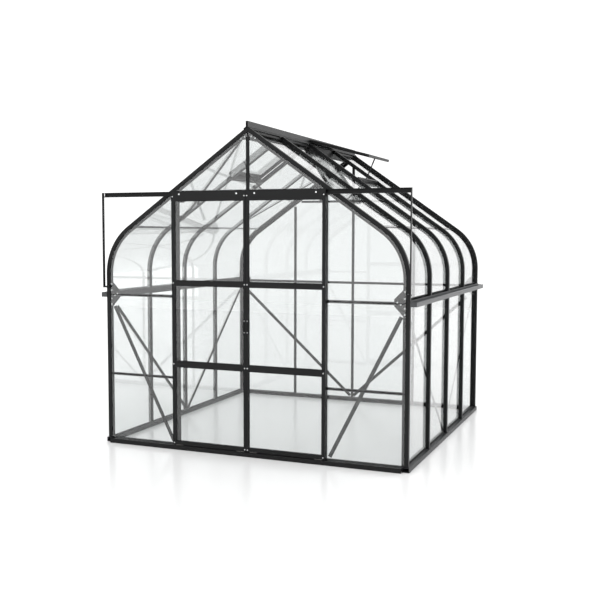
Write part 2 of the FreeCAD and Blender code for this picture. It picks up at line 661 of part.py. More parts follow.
def wall_and_roof_glass():
    insets = (CAPPING, SIDE_GLASS_BACK)
    half_gap = STRIP_GAP / 2
    low_stop = ("wall", LOW_JOINT_Z - half_gap)
    curve_start = ("wall", LOW_JOINT_Z + half_gap)
    curve_stop = ("slope", CURVE_JOINT - half_gap)
    roof_start = ("slope", CURVE_JOINT + half_gap)
    walls, curves, roofs, strips = [], [], [], []
    edge = BAR_WIDTH / 2 - GLASS_GRIP
    for side in SIDES.values():
        for bay in range(BAYS):
            y0, y1 = BAR_Y[bay] + edge, BAR_Y[bay + 1] - edge
            top = ("ridge", RIDGE_HALF + PANE_TO_RIDGE)
            if bay == VENT_BAYS[side]:
                top = ("slope", sill_place())
            walls.append(band(insets, WALL_FOOT, low_stop, y0, y1, side))
            curves.append(band(insets, curve_start, curve_stop, y0, y1, side))
            roofs.append(band(insets, roof_start, top, y0, y1, side))
            strips += joint_strips(bay, side)
    save("wall_panes", walls)
    save("curved_panes", curves)
    save("roof_panes", roofs)
    save("pane_joint_strips", strips)


def joint_strips(bay, side):
    """H strips between the wall, curved and roof panes of one bay."""
    edge = BAR_WIDTH / 2 + 0.5
    y0, y1 = BAR_Y[bay] + edge, BAR_Y[bay + 1] - edge
    if bay == 0:
        y0 = gable_y(-1, BAR_WIDTH + GLASS_GRIP + 0.5)
    if bay == BAYS - 1:
        y1 = gable_y(1, BAR_WIDTH + GLASS_GRIP + 0.5)
    result = []
    for kind, middle in (("wall", LOW_JOINT_Z), ("slope", CURVE_JOINT)):
        pieces = []
        for insets, width in (((CAPPING - STRIP_FACE, CAPPING), STRIP_WIDTH),
                              ((CAPPING, SIDE_GLASS_BACK), STRIP_GAP),
                              ((SIDE_GLASS_BACK, SIDE_GLASS_BACK + STRIP_FACE), STRIP_WIDTH)):
            start, stop = (kind, middle - width / 2), (kind, middle + width / 2)
            pieces.append(band(insets, start, stop, y0, y1, side))
        result.append(joined(pieces))
    return result


def corner_pane(x0, z0, end, side):
    """Gable pane whose outer edge follows the eaves curve."""
    inset = CORNER_FACE - GLASS_GRIP
    y0, y1 = sorted((gable_y(end, SKIN), gable_y(end, GLASS_BACK)))
    edges = outline_edges(inset, ("wall", z0), ("ridge", x0), side, y0)
    top = outline_point(inset, ("ridge", x0), side, y0)
    low = outline_point(inset, ("wall", z0), side, y0)
    foot = Vector(side * x0, y0, z0)
    edges.append(Part.LineSegment(top, foot).toShape())
    edges.append(Part.LineSegment(foot, low).toShape())
    face = Part.Face(Part.Wire(Part.__sortEdges__(edges)))
    return face.extrude(Vector(0, y1 - y0, 0))


def flat_pane(x0, x1, z0, z1, end, side):
    return box(side * x0, side * x1, gable_y(end, SKIN), gable_y(end, GLASS_BACK), z0, z1)


def apex_pane(x0, x1, z0, end, side):
    inset = CORNER_FACE - GLASS_GRIP
    corner = [(x1, z0), (x1, slope_z(x1, inset))]
    if slope_x(z0, inset) < x1:
        corner = [(slope_x(z0, inset), z0)]
    outline = [(x0, z0)] + corner + [(x0, slope_z(x0, inset))]
    points = [(side * x, z) for x, z in outline]
    return plate_xz(points, gable_y(end, SKIN), gable_y(end, GLASS_BACK))


def gable_glass():
    half_web, half_gap = BAR_WEB / 2, PANE_GAP / 2
    edge = HALF_W - CORNER_FACE + GLASS_GRIP
    outer, inner = REAR_UPRIGHT + half_web, REAR_UPRIGHT - half_web
    front, rear = [], []
    for side in SIDES.values():
        front += [flat_pane(OUTER_POST, edge, CILL_HEIGHT, LOW_TRANSOM_Z - half_gap, -1, side),
                  flat_pane(OUTER_POST, edge, LOW_TRANSOM_Z + half_gap,
                            EAVES_Z - half_gap, -1, side),
                  corner_pane(OUTER_POST + 1, EAVES_Z + half_gap, -1, side),
                  apex_pane(half_web, OUTER_POST, HEAD_Z + 2, -1, side)]
        rear += [flat_pane(outer, edge, CILL_HEIGHT, EAVES_Z - half_gap, 1, side),
                 corner_pane(outer, EAVES_Z + half_gap, 1, side),
                 flat_pane(half_web, inner, CILL_HEIGHT, EAVES_Z - half_gap, 1, side),
                 flat_pane(half_web, inner, EAVES_Z + half_gap, REAR_HEAD_Z - half_gap, 1, side),
                 apex_pane(half_web, inner, REAR_HEAD_Z + half_gap, 1, side)]
    save("front_panes", front)
    save("rear_panes", rear)


# ---- doors ---------------------------------------------------------------------
def door_y(forward):
    """Y of a plane this far in front of the front gable's face."""
    return -HALF_D - forward


def door_track():
    outline = channel(((door_y(TRACK_BACK), TRACK_LOW_Z),
                       (door_y(TRACK_FRONT), TRACK_TOP_Z)), WALL)
    end = HALF_W + TRACK_PAST
    rail = along_x(outline, -end, end)
    lip = box(-end, end, door_y(TRACK_FRONT), door_y(TRACK_FRONT - WALL),
              TRACK_LOW_Z + WALL, TRACK_LOW_Z + WALL + TRACK_LIP)
    save("door_track", [joined([rail, lip])])
    foot_z = SPLICE_Z - SUPPORT_LAP
    back, front = door_y(SUPPORT_FORWARD), door_y(SUPPORT_FORWARD + SUPPORT_WIDTH)
    supports = []
    for side in SIDES.values():
        outer = side * (end + SUPPORT_THICK)
        upright = box(side * end, outer, back, front, foot_z, TRACK_TOP_Z)
        foot = box(side * (HALF_W - SUPPORT_FOOT_LAP), outer, door_y(0), front, foot_z,
                   foot_z + SUPPORT_FOOT)
        supports.append(joined([upright, foot]))
    save("track_supports", supports)


def door(name, side):
    back, front = door_y(DOOR_BACK), door_y(DOOR_BACK + DOOR_THICK)
    x = [side * DOOR_GAP, side * (DOOR_GAP + MEETING_STILE),
         side * (DOOR_OUTER - OUTER_STILE), side * DOOR_OUTER]
    save(name + "_door_stiles", [box(x[0], x[1], back, front, DOOR_LOW_Z, DOOR_TOP_Z),
                                 box(x[2], x[3], back, front, DOOR_LOW_Z, DOOR_TOP_Z)])
    rails = [(DOOR_LOW_Z, DOOR_LOW_Z + BOTTOM_RAIL),
             (MID_RAIL_Z - MID_RAIL / 2, MID_RAIL_Z + MID_RAIL / 2),
             (LOCK_RAIL_Z - LOCK_RAIL / 2, LOCK_RAIL_Z + LOCK_RAIL / 2),
             (FASCIA_LOW_Z + TOP_RAIL_LAP, DOOR_TOP_Z)]
    solids = [box(x[1], x[2], back, front, z0, z1) for z0, z1 in rails]
    fascia = box(x[0], x[3], front, front - FASCIA, FASCIA_LOW_Z, FASCIA_TOP_Z)
    hangers = [side * (DOOR_MIDDLE - HANGER_SPREAD), side * (DOOR_MIDDLE + HANGER_SPREAD)]
    for place in hangers:
        fascia = fascia.cut(along_y(AXLE_RADIUS, place, ROLLER_Z, front + 1, front - FASCIA - 1))
    solids[-1] = joined([solids[-1], fascia])
    save(name + "_door_rails", solids)
    glass_y = (back + front) / 2
    save(name + "_door_panes", [box(x[1], x[2], glass_y - GLASS / 2, glass_y + GLASS / 2,
                                    rails[k][1], rails[k + 1][0]) for k in range(3)])
    save(name + "_door_hangers", [hanger(place, front) for place in hangers])
    for place, label in zip(hangers, ("inner", "outer")):
        save(name + "_roller_" + label, [roller(place)])
    glides = []
    for offset in (-GLIDE_SPREAD, GLIDE_SPREAD):
        middle = side * DOOR_MIDDLE + offset
        glides.append(box(middle - GLIDE_LENGTH / 2, middle + GLIDE_LENGTH / 2,
                          glass_y - GLIDE_THICK / 2, glass_y + GLIDE_THICK / 2,
                          CILL_HEIGHT - GROOVE_DEPTH + 4, DOOR_LOW_Z))
    save(name + "_door_glides", glides)
    save(name + "_door_handle", [handle(side, front)])


def hanger(x, front):
    """Shouldered axle bolt through the fascia, with a sleeve and an end collar."""
    roller_back = ROLLER_FRONT - ROLLER_SIDE_GAP
    roller_front = ROLLER_FRONT + ROLLER_WIDTH + ROLLER_SIDE_GAP
    end_y = door_y(roller_back - COLLAR - ROLLER_SIDE_GAP)
    head_y = front - FASCIA
    shaft = along_y(AXLE_RADIUS, x, ROLLER_Z, head_y, end_y)
    head = along_y(BOLT_HEAD_RADIUS + 1, x, ROLLER_Z, head_y, head_y - BOLT_HEAD)
    sleeve = along_y(AXLE_RADIUS + 3, x, ROLLER_Z, front, door_y(roller_front))
    collar = along_y(AXLE_RADIUS + 2, x, ROLLER_Z, door_y(roller_back), end_y)
    return joined([shaft, head, sleeve, collar])


def roller(x):
    y0, y1 = door_y(ROLLER_FRONT), door_y(ROLLER_FRONT + ROLLER_WIDTH)
    wheel = along_y(ROLLER_RADIUS, x, ROLLER_Z, y0, y1)
    bore = along_y(AXLE_RADIUS + AXLE_CLEARANCE, x, ROLLER_Z, y0 + 1, y1 - 1)
    return wheel.cut(bore)


def handle(side, front):
    """Back plate on the meeting stile with a pull standing off it."""
    middle = side * (DOOR_GAP + HANDLE_WIDTH / 2)
    half, low, high = HANDLE_WIDTH / 2, HANDLE_Z - HANDLE_HEIGHT / 2, HANDLE_Z + HANDLE_HEIGHT / 2
    plate = box(middle - half, middle + half, front, front - WALL, low, high)
    x0, x1, stand = middle - GRIP_HALF, middle + GRIP_HALF, front - GRIP_STAND
    grip = box(x0, x1, stand, stand - GRIP_THICK, low + GRIP_INSET, high - GRIP_INSET)
    feet = [box(x0, x1, front - WALL, stand, z, z + GRIP_FOOT)
            for z in (low + GRIP_INSET, high - GRIP_INSET - GRIP_FOOT)]
    return joined([plate, grip] + feet)


# ---- roof vents ----------------------------------------------------------------
def place_on_roof(shape, side, open_deg):
    """Turn a shape built flat at the hinge line (x down the slope) into its place."""
    moved = shape.copy()
    moved.rotate(Vector(0, 0, 0), Vector(0, 1, 0), PITCH_DEG - open_deg)
    moved.translate(Vector(VENT_HINGE_X, 0, VENT_HINGE_Z))
    return moved if side > 0 else moved.mirror(Vector(0, 0, 0), Vector(1, 0, 0))


def hook(y0, y1):
    """Curved hook round the ridge bead, open towards the ridge."""
    inner = HINGE_BEAD + HINGE_CLEARANCE
    outer = inner + HINGE_WALL
    wrap = math.radians(HINGE_WRAP_DEG)
    points = {}
    for radius in (inner, outer):
        for turn in (-1, 0, 1):
            angle = turn * wrap
            points[radius, turn] = Vector(radius * math.cos(angle), y0, radius * math.sin(angle))
    edges = [Part.Arc(points[radius, -1], points[radius, 0], points[radius, 1]).toShape()
             for radius in (inner, outer)]
    edges += [Part.LineSegment(points[inner, turn], points[outer, turn]).toShape()
              for turn in (-1, 1)]
    face = Part.Face(Part.Wire(Part.__sortEdges__(edges)))
    return face.extrude(Vector(0, y1 - y0, 0))


def vent(name, side, open_deg):
    y0, y1 = vent_span(side)
    low = VENT_GAP - VENT_HINGE_RISE
    high = low + VENT_DEPTH
    rail_end = VENT_TOP_START + VENT_RAIL
    web = box(HINGE_BEAD + 2, VENT_TOP_START, y0, y1, -WALL / 2, WALL / 2)
    top_rail = joined([hook(y0, y1), web, box(VENT_TOP_START, rail_end, y0, y1, low, high)])
    foot = VENT_LENGTH - VENT_RAIL
    solids = [top_rail, box(foot, VENT_LENGTH, y0, y1, low, high)]
    for edge, step in ((y0, VENT_SIDE), (y1, -VENT_SIDE)):
        solids.append(box(rail_end, foot, edge, edge + step, low, high))
    pivot_z = low + STAY_PIVOT_RISE
    pin_y = (y0 + y1) / 2
    lugs = []
    for offset in (-STAY_THICK / 2 - PEG_GAP - WALL, STAY_THICK / 2 + PEG_GAP):
        lug = box(STAY_PIVOT_AT - STAY_LUG_HALF, foot, pin_y + offset, pin_y + offset + WALL,
                  pivot_z - STAY_LUG_HALF, pivot_z + STAY_LUG_HALF)
        lugs.append(lug)
    pin = along_y(STAY_PIVOT_RADIUS, STAY_PIVOT_AT, pivot_z, pin_y - STAY_THICK / 2 - PEG_GAP - 1,
                  pin_y + STAY_THICK / 2 + PEG_GAP + 1)
    solids[1] = joined([solids[1], pin] + lugs)
    save(name + "_vent_frame", [place_on_roof(solid, side, open_deg) for solid in solids])
    pane = box(rail_end, foot, y0 + VENT_SIDE, y1 - VENT_SIDE, high - SKIN - GLASS, high - SKIN)
    save(name + "_vent_pane", [place_on_roof(pane, side, open_deg)])
    strip = stay(pin_y)
    strip.rotate(Vector(0, 0, 0), Vector(0, 1, 0), STAY_LEAN_DEG)
    strip.translate(Vector(STAY_PIVOT_AT, 0, pivot_z))
    save(name + "_vent_stay", [place_on_roof(strip, side, open_deg)])


def stay(y):
    """Flat stay hanging from its pivot at the origin, with peg holes along it."""
    half, thick = STAY_WIDTH / 2, STAY_THICK / 2
    strip = box(-half, half, y - thick, y + thick, half - STAY_LENGTH, 0)
    for z in (0.0, half - STAY_LENGTH):
        strip = strip.fuse(along_y(half, 0, z, y - thick, y + thick))
    holes = [(0.0, STAY_PIVOT_RADIUS + STAY_PIVOT_CLEARANCE)]
    last = half - STAY_LENGTH + STAY_HOLE_END
    holes += [(last + STAY_HOLE_PITCH * k, PEG_RADIUS + PEG_HOLE_GAP)
              for k in range(STAY_HOLES)]
    for z, radius in holes:
        strip = strip.cut(along_y(radius, 0, z, y - thick - 1, y + thick + 1))
    return strip.removeSplitter()


def sills_and_pegs():
    """Sill bar below each vent, and the peg beside the stay that hooks over it."""
    sills, pegs = [], []
    for side in SIDES.values():
        bay = VENT_BAYS[side]
        edge = BAR_WIDTH / 2 + VENT_BAR_GAP
        y0, y1 = BAR_Y[bay] + edge, BAR_Y[bay + 1] - edge
        top = VENT_GAP - 1 - VENT_HINGE_RISE
        bottom = -SILL_DEPTH - VENT_HINGE_RISE
        end = SILL_START + SILL_WIDTH
        sill = box(SILL_START, end, y0, y1, bottom, top)
        rebate = box(end - SILL_REBATE, end, y0, y1, -SIDE_GLASS_BACK - VENT_HINGE_RISE, top)
        sills.append(place_on_roof(sill.cut(rebate), side, 0.0))
        middle = (y0 + y1) / 2
        start = middle + STAY_THICK / 2 + PEG_GAP
        base = box(SILL_START - PEG_GAP - PEG_BASE_DEEP, SILL_START, start,
                   start + PEG_BASE, bottom + PEG_RISE, bottom + PEG_RISE + PEG_BASE)
        pegs.append(place_on_roof(base, side, 0.0))
    save("vent_sills", sills)
    save("stay_pegs", pegs)


def main():
    os.makedirs("parts", exist_ok=True)
    front_cill()
    other_cills()
    door_threshold()
    bars()
    ridge()
    eaves()
    gable_frames()
    braces()
    gussets()
    wall_and_roof_glass()
    gable_glass()
    door_track()
    for name, side in SIDES.items():
        door(name, side)
    vent("left", -1, 0.0)
    vent("right", 1, RIGHT_VENT_OPEN_DEG)
    sills_and_pegs()


main()
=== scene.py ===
"""Looks of a walk-in glasshouse, built as an add-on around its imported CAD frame.

Lengths are in metres, in the CAD frame: X across the width, Y from the door gable to
the rear gable, Z up from the ground. Pieces take their places from the CAD nodes.
"""

import json
import math

import bmesh
import bpy
from bpy.props import FloatProperty, FloatVectorProperty, PointerProperty
from mathutils import Matrix, Vector


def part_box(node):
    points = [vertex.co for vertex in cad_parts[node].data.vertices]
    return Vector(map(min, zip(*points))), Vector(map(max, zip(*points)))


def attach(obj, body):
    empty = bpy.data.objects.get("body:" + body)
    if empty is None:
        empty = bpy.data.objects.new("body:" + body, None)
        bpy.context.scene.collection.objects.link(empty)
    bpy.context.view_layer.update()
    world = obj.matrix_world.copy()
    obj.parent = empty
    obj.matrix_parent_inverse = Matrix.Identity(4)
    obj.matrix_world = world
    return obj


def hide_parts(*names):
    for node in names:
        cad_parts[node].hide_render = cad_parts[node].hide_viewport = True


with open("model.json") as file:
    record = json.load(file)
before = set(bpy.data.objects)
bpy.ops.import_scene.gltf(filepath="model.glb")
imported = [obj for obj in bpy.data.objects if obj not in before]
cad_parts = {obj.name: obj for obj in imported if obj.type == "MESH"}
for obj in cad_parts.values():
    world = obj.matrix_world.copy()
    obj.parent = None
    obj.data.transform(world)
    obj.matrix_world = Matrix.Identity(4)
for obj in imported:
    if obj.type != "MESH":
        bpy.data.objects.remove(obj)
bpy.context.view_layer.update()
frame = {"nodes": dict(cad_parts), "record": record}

bl_info = {
    "name": "Curved-eaves glasshouse",
    "version": (1, 0, 0),
    "blender": (4, 5, 0),
    "location": "3D View > Sidebar > Glasshouse",
    "description": "Finishes, seals, fixings and studio for a walk-in glasshouse",
    "category": "Object",
}

SIDES = {"left": -1.0, "right": 1.0}
GLAZED = ("pane", "panes")
WELD = 1e-5               # vertices nearer than this are one
LEAST_PANE_FACE = 0.008   # square metres; smaller faces are a pane's edges
ROUND_WITHIN = 0.0006     # a bolt along Y is as wide as it is tall, to this
GABLE_BOLT_REACH = 0.04   # a gable bolt's middle is within this of the glass
FLAT_WITHIN = math.radians(0.5)
FACES_GABLE = 0.9         # share of a normal along Y that makes a face a gable's


# ---- settings ------------------------------------------------------------------
def colour(name, description, default):
    return FloatVectorProperty(name=name, description=description, default=default,
                               subtype="COLOR", size=3, min=0.0, max=1.0)


def length(name, description, default):
    return FloatProperty(name=name, description=description, default=default,
                         unit="LENGTH", min=0.0, precision=4)


class GlasshouseFinish(bpy.types.PropertyGroup):
    """Colours and small sizes of the house."""
    frame_coat: colour("Frame coat", "Powder coat of the bars and doors",
                       (0.0060, 0.0063, 0.0066))
    cill_coat: colour("Cill coat", "Powder coat of the base cills", (0.022, 0.023, 0.024))
    gutter_coat: colour("Gutter coat", "Powder coat of the gutters", (0.060, 0.062, 0.064))
    ridge_coat: colour("Ridge coat", "Powder coat of the ridge cover", (0.014, 0.0145, 0.015))
    glass_tint: colour("Glass tint", "What one face of a pane lets through",
                       (0.905, 0.913, 0.912))
    glass_shine: FloatProperty(name="Glass shine", default=0.05, min=0.0, max=0.3,
                               description="Share of light mirrored head on by one face")
    zinc: colour("Zinc", "Plated bolts and screws", (0.72, 0.73, 0.74))
    nylon: colour("Nylon", "Rollers and door glides", (0.66, 0.65, 0.61))
    rubber: colour("Rubber", "Glazing seals and brush strips", (0.012, 0.012, 0.012))
    seal_width: length("Seal width", "Glazing seal in from the edge of a side or roof pane",
                       0.011)
    gable_seal: length("Gable seal", "Glazing seal in from the edge of a gable pane", 0.002)
    door_seal: length("Door seal", "Glazing seal in from the edge of a door pane", 0.003)
    seal_height: length("Seal height", "How far the seal stands off the glass", 0.001)
    screw_radius: length("Screw radius", "Radius of the pan-head screws", 0.0048)
    screw_height: length("Screw height", "How far a screw head stands proud", 0.0022)
    bolt_radius: length("Bolt radius", "Radius of the bolt heads behind the glass", 0.0060)
    lip_radius: length("Lip radius", "Rolled front lip of the gutters", 0.0030)
    brush_depth: length("Brush depth", "Thickness of the brush strips", 0.0040)
    brush_inset: length("Brush inset", "Brush strip in from the stile's edge", 0.0040)
    brush_gap: length("Brush gap", "Brush strip to what it sweeps past", 0.0004)
    fin_inset: length("Fin inset", "Meeting fin in from both faces of the stile", 0.0060)
    bolt_head: length("Bolt head", "Thickness of the heads behind the gable glass", 0.0007)
    bolt_gap: length("Bolt gap", "Heads to the back of the glass", 0.0002)
    bolt_bite: length("Bolt bite", "How far a new shank runs into the bolt it meets", 0.0010)
    splice_inset: length("Splice inset", "Splice screws in from the edges of a corner post",
                         0.0160)
    plate_thick: length("Plate thickness", "Back plate of a door pull", 0.0025)
    pull_radius: length("Pull radius", "Round bar of a door pull", 0.0042)
    pull_inset: length("Pull inset", "Pull in from the ends of its plate", 0.0180)
    pull_screw_inset: length("Pull screw inset", "Plate screws in from its ends", 0.0070)
    sleeve_proud: length("Sleeve proud", "Ridge sleeve above the ridge cover", 0.0006)
    sleeve_half: length("Sleeve half", "Half the length of the ridge sleeve", 0.0030)
    sleeve_side: length("Sleeve side", "Ridge sleeve to each side of the middle", 0.0100)
    sleeve_drop: length("Sleeve drop", "How far the ridge sleeve comes down", 0.0200)
    stop_rise: length("Stop rise", "Stop disc above the stay's lowest point", 0.0060)
    stop_radius: length("Stop radius", "Radius of the stop disc of a stay", 0.0045)
    stop_thick: length("Stop thickness", "Thickness of the stop disc", 0.0030)


class GlasshouseStudio(bpy.types.PropertyGroup):
    """Camera and light."""
    camera_place: FloatVectorProperty(name="Camera place", subtype="XYZ", unit="LENGTH",
                                      size=3, default=(2.930, -7.371, 1.722),
                                      description="Where the camera stands")
    camera_yaw: FloatProperty(name="Camera yaw", default=math.radians(22.2),
                              subtype="ANGLE", description="Turn to the left of straight on")
    camera_pitch: FloatProperty(name="Camera pitch", default=math.radians(-4.25),
                                subtype="ANGLE", description="Tilt above level")
    camera_roll: FloatProperty(name="Camera roll", default=math.radians(0.14),
                               subtype="ANGLE", description="Turn about the line of sight")
    lens: FloatProperty(name="Lens", default=52.9, min=10.0,
                        description="Focal length in millimetres on a 36 mm sensor")
    sky: FloatProperty(name="Sky", default=1.2, min=0.0,
                       description="Brightness of the white surroundings")
    front_card: FloatProperty(name="Front card", default=2.0, min=0.0,
                              description="Brightness of the tall card behind the camera")
    side_card: FloatProperty(name="Side card", default=3.4, min=0.0,
                             description="Brightness of the card beyond the right wall")
    floor_half: length("Floor half", "Half the width of the floor", 12.915)
    floor_drop: length("Floor drop", "Floor below the foot of the house", 0.0005)
    floor_tone: FloatProperty(name="Floor tone", default=0.93, min=0.0, max=1.0,
                              description="How pale the floor is")


# ---- materials -----------------------------------------------------------------
def blank_material(name):
    material = bpy.data.materials.new(name)
    material.use_nodes = True
    material.node_tree.nodes.clear()
    return material, material.node_tree.nodes, material.node_tree.links


def noise(nodes, links, scale, detail=3.0, stretch=(1.0, 1.0, 1.0)):
    """Noise in the piece's own metres, stretched along an axis where one is under 1."""
    place = nodes.new("ShaderNodeTexCoord")
    mapping = nodes.new("ShaderNodeMapping")
    mapping.inputs["Scale"].default_value = stretch
    texture = nodes.new("ShaderNodeTexNoise")
    texture.inputs["Scale"].default_value = scale
    texture.inputs["Detail"].default_value = detail
    links.new(place.outputs["Object"], mapping.inputs["Vector"])
    links.new(mapping.outputs["Vector"], texture.inputs["Vector"])
    return texture.outputs["Fac"]


def ramp(nodes, links, source, low, high, start=0.3, end=0.7):
    node = nodes.new("ShaderNodeValToRGB")
    node.color_ramp.elements[0].position = start
    node.color_ramp.elements[1].position = end
    node.color_ramp.elements[0].color = (*low, 1.0)
    node.color_ramp.elements[1].color = (*high, 1.0)
    links.new(source, node.inputs["Fac"])
    return node.outputs["Color"]


def span(nodes, links, source, low, high):
    node = nodes.new("ShaderNodeMapRange")
    node.inputs["From Min"].default_value = 0.3
    node.inputs["From Max"].default_value = 0.7
    node.inputs["To Min"].default_value = low
    node.inputs["To Max"].default_value = high
    links.new(source, node.inputs["Value"])
    return node.outputs["Result"]


def shade(rgb, factor):
    return tuple(min(1.0, channel * factor) for channel in rgb)


def surface(name, rgb, roughness, grain, depth, specular=0.5, metallic=0.0, drift=0.12,
            stretch=(1.0, 1.0, 1.0)):
    """Opaque finish: colour drift, roughness drift and a fine grain in its bump."""
    material, nodes, links = blank_material(name)
    shader = nodes.new("ShaderNodeBsdfPrincipled")
    output = nodes.new("ShaderNodeOutputMaterial")
    links.new(shader.outputs["BSDF"], output.inputs["Surface"])
    broad = noise(nodes, links, 2.3, 5.0, stretch)
    fine = noise(nodes, links, grain, 2.0, stretch)
    tint = ramp(nodes, links, broad, shade(rgb, 1.0 - drift), shade(rgb, 1.0 + drift))
    links.new(tint, shader.inputs["Base Color"])
    rough = span(nodes, links, fine, max(0.02, roughness - 0.07), roughness + 0.07)
    links.new(rough, shader.inputs["Roughness"])
    bump = nodes.new("ShaderNodeBump")
    bump.inputs["Strength"].default_value = 0.35
    bump.inputs["Distance"].default_value = depth
    links.new(fine, bump.inputs["Height"])
    links.new(bump.outputs["Normal"], shader.inputs["Normal"])
    shader.inputs["Specular IOR Level"].default_value = specular
    shader.inputs["Metallic"].default_value = metallic
    return material


def clear_glass(name, tint, shine):
    """Thin clear glass: tinted see-through, with a mirror that grows at a low angle."""
    material, nodes, links = blank_material(name)
    output = nodes.new("ShaderNodeOutputMaterial")
    mix = nodes.new("ShaderNodeMixShader")
    through = nodes.new("ShaderNodeBsdfTransparent")
    mirror = nodes.new("ShaderNodeBsdfGlossy")
    mirror.inputs["Roughness"].default_value = 0.015
    mirror.inputs["Color"].default_value = (0.90, 0.90, 0.90, 1.0)
    film = noise(nodes, links, 1.7, 4.0, (1.0, 1.0, 0.35))
    links.new(ramp(nodes, links, film, shade(tint, 0.995), shade(tint, 1.004)),
              through.inputs["Color"])
    facing = nodes.new("ShaderNodeLayerWeight")
    facing.inputs["Blend"].default_value = 0.5
    power = nodes.new("ShaderNodeMath")
    power.operation = "POWER"
    power.inputs[1].default_value = 4.0
    share = nodes.new("ShaderNodeMath")
    share.operation = "MULTIPLY_ADD"
    share.inputs[1].default_value = 1.0 - shine
    share.inputs[2].default_value = shine
    links.new(facing.outputs["Facing"], power.inputs[0])
    links.new(power.outputs[0], share.inputs[0])
    links.new(share.outputs[0], mix.inputs["Fac"])
    links.new(through.outputs["BSDF"], mix.inputs[1])
    links.new(mirror.outputs["BSDF"], mix.inputs[2])
    links.new(mix.outputs["Shader"], output.inputs["Surface"])
    return material


def floor_paper(name, tone):
    material, nodes, links = blank_material(name)
    shader = nodes.new("ShaderNodeBsdfPrincipled")
    output = nodes.new("ShaderNodeOutputMaterial")
    links.new(shader.outputs["BSDF"], output.inputs["Surface"])
    broad = noise(nodes, links, 0.6, 2.0)
    tint = ramp(nodes, links, broad, (tone, tone, tone), shade((tone,) * 3, 1.01))
    links.new(tint, shader.inputs["Base Color"])
    shader.inputs["Roughness"].default_value = 0.22
    shader.inputs["Specular IOR Level"].default_value = 0.3
    return material


def finishes(settings):
    """Every finish of the house, by name."""
    coat = dict(roughness=0.42, grain=700.0, depth=0.0002, specular=0.16)
    return {
        "frame_coat": surface("frame_coat", settings.frame_coat, **coat),
        "cill_coat": surface("cill_coat", settings.cill_coat, **coat),
        "gutter_coat": surface("gutter_coat", settings.gutter_coat, **coat),
        "ridge_coat": surface("ridge_coat", settings.ridge_coat, **coat),
        # Gutter lip: the gutter coat made 2.2 times lighter, a painted highlight along the rolled
        # bead
        "lip_painted_highlight": surface("lip_painted_highlight", shade(settings.gutter_coat, 2.2), **coat),
        "clear_glass": clear_glass("clear_glass", settings.glass_tint, settings.glass_shine),
        "joint_strip": clear_glass("joint_strip", (0.60, 0.61, 0.61), 0.06),
        "zinc": surface("zinc", settings.zinc, 0.32, 900.0, 0.00005, metallic=1.0),
        "nylon": surface("nylon", settings.nylon, 0.5, 500.0, 0.0001, specular=0.4),
        "rubber": surface("rubber", settings.rubber, 0.75, 600.0, 0.0002, specular=0.2),
        "handle_plastic": surface("handle_plastic", settings.frame_coat, 0.55, 1400.0,
                                  0.0002, specular=0.25),
    }


def finish_of(node):
    """Name of the finish that a CAD node has."""
    if node.endswith(GLAZED):
        return "clear_glass"
    if "roller" in node or "glides" in node:
        return "nylon"
    if node == "frame_bolts" or node.endswith("hangers"):
        return "zinc"
    special = {"pane_joint_strips": "joint_strip",
               "gutters": "gutter_coat", "gutter_ends": "gutter_coat",
               "side_cills": "cill_coat", "ridge_cappings": "ridge_coat",
               "left_door_handle": "handle_plastic", "right_door_handle": "handle_plastic"}
    return special.get(node, "frame_coat")


# ---- mesh helpers --------------------------------------------------------------
def add_piece(name, shape, finish, body, smooth=False):
    """One new visible piece that rides on a CAD body."""
    mesh = bpy.data.meshes.new(name)
    bmesh.ops.recalc_face_normals(shape, faces=shape.faces)
    shape.to_mesh(mesh)
    shape.free()
    piece = bpy.data.objects.new(name, mesh)
    bpy.context.scene.collection.objects.link(piece)
    mesh.materials.append(bpy.data.materials[finish])
    for face in mesh.polygons:
        face.use_smooth = smooth
    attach(piece, body)
    return piece


def mesh_of(name, shape):
    mesh = bpy.data.meshes.new(name)
    shape.to_mesh(mesh)
    shape.free()
    return mesh


def body_of(node):
    for body, members in frame["record"]["behaviour"]["bodies"].items():
        if node in members:
            return body
    raise KeyError(node)


def welded(node):
    """A CAD node's mesh with its faces joined and its flat faces whole."""
    shape = bmesh.new()
    shape.from_mesh(frame["nodes"][node].data)
    bmesh.ops.remove_doubles(shape, verts=shape.verts, dist=WELD)
    return shape


def boxes_of(node):
    """(lowest corner, highest corner) of each separate solid of a CAD node."""
    shape = welded(node)
    left = set(shape.verts)
    boxes = []
    while left:
        group = [left.pop()]
        for vert in group:
            for edge in vert.link_edges:
                other = edge.other_vert(vert)
                if other in left:
                    left.discard(other)
                    group.append(other)
        low = tuple(round(min(v.co[k] for v in group), 6) for k in range(3))
        high = tuple(round(max(v.co[k] for v in group), 6) for k in range(3))
        boxes.append((low, high))
    shape.free()
    return [(Vector(low), Vector(high)) for low, high in sorted(boxes)]


def add_block(shape, low, high, rounding=0.0):
    """Box between two corners, with its edges rounded where a rounding is given."""
    low, high = Vector(map(min, low, high)), Vector(map(max, low, high))
    verts = bmesh.ops.create_cube(shape, size=1.0)["verts"]
    bmesh.ops.scale(shape, vec=high - low, verts=verts)
    bmesh.ops.translate(shape, vec=(low + high) / 2, verts=verts)
    if rounding > 0.0:
        edges = list({edge for vert in verts for edge in vert.link_edges})
        bmesh.ops.bevel(shape, geom=edges, offset=rounding, segments=3, profile=0.5,
                        affect="EDGES")


def add_rod(shape, start, stop, radius, sides=12):
    """Round rod between two points."""
    line = Vector(stop) - Vector(start)
    place = Matrix.Translation((Vector(start) + Vector(stop)) / 2)
    turn = line.to_track_quat("Z", "Y").to_matrix().to_4x4()
    return bmesh.ops.create_cone(shape, cap_ends=True, segments=sides, radius1=radius,
                                 radius2=radius, depth=line.length,
                                 matrix=place @ turn)["verts"]


